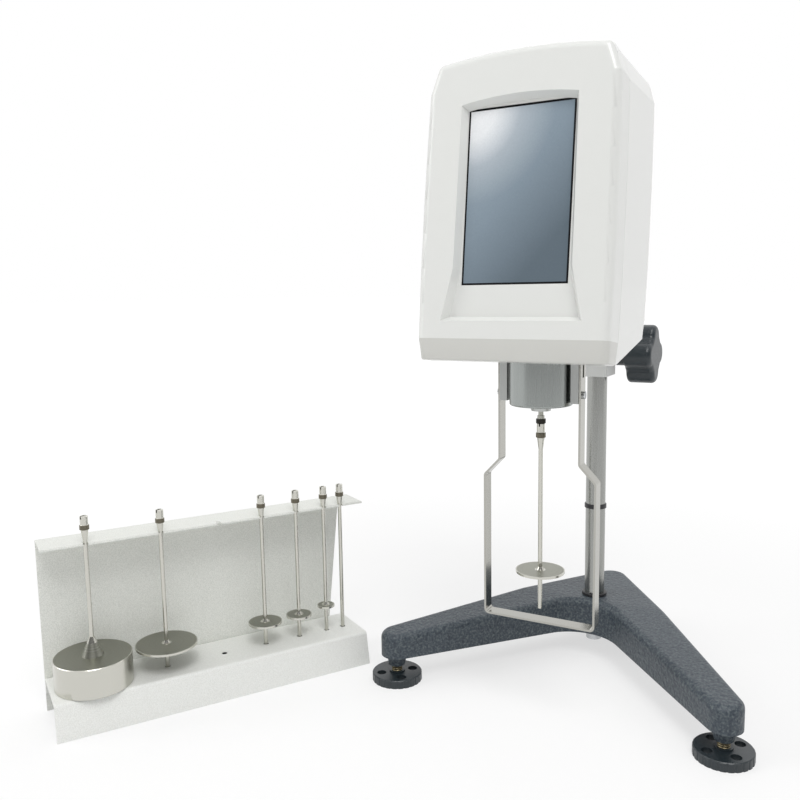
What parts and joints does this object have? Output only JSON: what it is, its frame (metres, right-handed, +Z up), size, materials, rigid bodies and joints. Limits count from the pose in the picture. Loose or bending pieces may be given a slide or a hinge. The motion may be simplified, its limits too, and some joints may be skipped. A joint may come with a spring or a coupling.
{
  "type": "rotational viscometer",
  "caption": "Bench rotational viscometer: leaning touch-screen head on a rack-and-pinion column over a three-footed cast base, a disc spindle inside a guard leg, and a rack of spare spindles.",
  "frame": {"origin": "On the bench under the centre of the rear levelling foot.", "axes": "+Z up, -Y towards the operator who faces the screen, +X to the operator's right. The measuring axis is the vertical line 194 mm ahead of the origin."},
  "size_m": [0.4827, 0.4024, 0.4647],
  "materials": {
    "casting_paint": "slate-grey hammered paint on a sand casting",
    "foot_plastic": "dark slate moulded plastic with a satin surface",
    "knob_plastic": "dark slate moulded plastic with a satin surface",
    "stud_brass": "turned brass thread",
    "bush_bronze": "sintered bronze",
    "column_steel": "ground and satin finished round steel",
    "rack_steel": "milled gear steel, lightly oiled",
    "zinc_steel": "zinc plated steel fastener",
    "black_ring": "blacked steel",
    "block_paint": "light grey painted aluminium",
    "arm_steel": "satin steel rod",
    "head_shell": "warm off-white moulded plastic with a soft gloss",
    "screen_glass": "dark touch glass, switched off",
    "display_black": "black display module",
    "board_green": "circuit board",
    "chassis_metal": "bent aluminium sheet",
    "cup_steel": "turned stainless steel with a fine brushed finish",
    "motor_steel": "black laminated motor body",
    "drive_steel": "polished stainless shaft",
    "disc_metal": "thin aluminium disc",
    "spring_bronze": "beryllium copper strip",
    "guard_steel": "polished stainless strip",
    "hanger_steel": "stainless bar",
    "spindle_steel": "polished stainless steel",
    "rack_paint": "light grey speckled powder coat",
    "panel_paint": "light grey speckled powder coat",
    "black_plastic": "black moulded plastic",
    "rocker_plastic": "black glossy rocker",
    "level_metal": "turned aluminium",
    "level_liquid": "tinted level vial"
  },
  "bodies": {
    "stand": {"base_casting": "casting_paint", "column": "column_steel", "column_washer": "zinc_steel", "column_bolt": "zinc_steel", "column_foot_ring": "black_ring", "stop_ring": "black_ring", "column_rack": "rack_steel", "rack_tray": "rack_paint", "rack_panel": "panel_paint"},
    "carriage": {"lift_block": "block_paint", "guide_bush_lower": "bush_bronze", "guide_bush_upper": "bush_bronze", "head_arm": "arm_steel", "arm_screw": "zinc_steel", "chassis": "chassis_metal", "front_cover": "head_shell", "rear_cover": "head_shell", "touch_screen": "screen_glass", "display_module": "display_black", "display_board": "board_green", "main_board": "board_green", "pivot_cup": "cup_steel", "bearing_nut": "cup_steel", "pivot_bearing": "bush_bronze", "motor_bridge": "chassis_metal", "motor": "motor_steel", "guard_hanger_left": "hanger_steel", "guard_hanger_right": "hanger_steel", "guard_leg": "guard_steel", "guard_screw_left": "zinc_steel", "guard_screw_right": "zinc_steel", "switch_frame": "black_plastic", "power_inlet": "black_plastic", "data_port": "black_plastic", "probe_socket": "zinc_steel", "level_body": "level_metal", "level_vial": "level_liquid"},
    "pinion": {"pinion_shaft": "rack_steel", "shaft_ring": "black_ring", "lift_knob": "knob_plastic"},
    "drive": {"motor_shaft": "drive_steel", "motor_disc": "disc_metal", "hairspring": "spring_bronze", "sensing_disc": "disc_metal", "drive_shaft": "drive_steel", "spindle_3": "spindle_steel"},
    "rocker": {"power_rocker": "rocker_plastic"},
    "right_screw": {"foot_stud_right": "stud_brass"},
    "right_foot": {"foot_disc_right": "foot_plastic"},
    "left_screw": {"foot_stud_left": "stud_brass"},
    "left_foot": {"foot_disc_left": "foot_plastic"},
    "rear_screw": {"foot_stud_rear": "stud_brass"},
    "rear_foot": {"foot_disc_rear": "foot_plastic"},
    "spare_1": {"spindle_1": "spindle_steel"},
    "spare_2": {"spindle_2": "spindle_steel"},
    "spare_4": {"spindle_4": "spindle_steel"},
    "spare_5": {"spindle_5": "spindle_steel"},
    "spare_6": {"spindle_6": "spindle_steel"},
    "spare_7": {"spindle_7": "spindle_steel"}
  },
  "joints": [
    {"name": "head_lift", "type": "slide", "parent": "stand", "child": "carriage", "axis": [0, 0, 1], "range_m": [-0.07, 0.07]},
    {"name": "lift_knob_turn", "type": "hinge", "parent": "carriage", "child": "pinion", "pos_m": [0, -0.0431, 0.258], "axis": [1, 0, 0], "range_deg": [-670, 670]},
    {"name": "spindle_spin", "type": "hinge", "parent": "carriage", "child": "drive", "pos_m": [0, -0.194, 0.25], "axis": [0, 0, 1], "continuous": true},
    {"name": "power_switch", "type": "hinge", "parent": "carriage", "child": "rocker", "pos_m": [0.027, -0.11835, 0.3882], "axis": [1, 0, 0], "range_deg": [-8, 8]},
    {"name": "right_foot_height", "type": "slide", "parent": "stand", "child": "right_screw", "axis": [0, 0, 1], "range_m": [-0.006, 0.004]},
    {"name": "right_foot_turn", "type": "hinge", "parent": "right_screw", "child": "right_foot", "pos_m": [0.1255, -0.183, 0.003], "axis": [0, 0, 1], "range_deg": [-1442, 962]},
    {"name": "left_foot_height", "type": "slide", "parent": "stand", "child": "left_screw", "axis": [0, 0, 1], "range_m": [-0.006, 0.004]},
    {"name": "left_foot_turn", "type": "hinge", "parent": "left_screw", "child": "left_foot", "pos_m": [-0.1255, -0.183, 0.003], "axis": [0, 0, 1], "range_deg": [-1442, 962]},
    {"name": "rear_foot_height", "type": "slide", "parent": "stand", "child": "rear_screw", "axis": [0, 0, 1], "range_m": [-0.006, 0.004]},
    {"name": "rear_foot_turn", "type": "hinge", "parent": "rear_screw", "child": "rear_foot", "pos_m": [0, 0, 0.003], "axis": [0, 0, 1], "range_deg": [-1442, 962]},
    {"name": "spindle_1_lift", "type": "slide", "parent": "stand", "child": "spare_1", "axis": [0, 0, 1], "range_m": [0, 0.066]},
    {"name": "spindle_2_lift", "type": "slide", "parent": "stand", "child": "spare_2", "axis": [0, 0, 1], "range_m": [0, 0.08]},
    {"name": "spindle_4_lift", "type": "slide", "parent": "stand", "child": "spare_4", "axis": [0, 0, 1], "range_m": [0, 0.08]},
    {"name": "spindle_5_lift", "type": "slide", "parent": "stand", "child": "spare_5", "axis": [0, 0, 1], "range_m": [0, 0.08]},
    {"name": "spindle_6_lift", "type": "slide", "parent": "stand", "child": "spare_6", "axis": [0, 0, 1], "range_m": [0, 0.08]},
    {"name": "spindle_7_lift", "type": "slide", "parent": "stand", "child": "spare_7", "axis": [0, 0, 1], "range_m": [0, 0.08]}
  ],
  "couplings": [
    {"joint": "lift_knob_turn", "follows": "head_lift", "rad_per_m": 166.67},
    {"joint": "right_foot_turn", "follows": "right_foot_height", "rad_per_m": 4188.8},
    {"joint": "left_foot_turn", "follows": "left_foot_height", "rad_per_m": 4188.8},
    {"joint": "rear_foot_turn", "follows": "rear_foot_height", "rad_per_m": 4188.8}
  ]
}
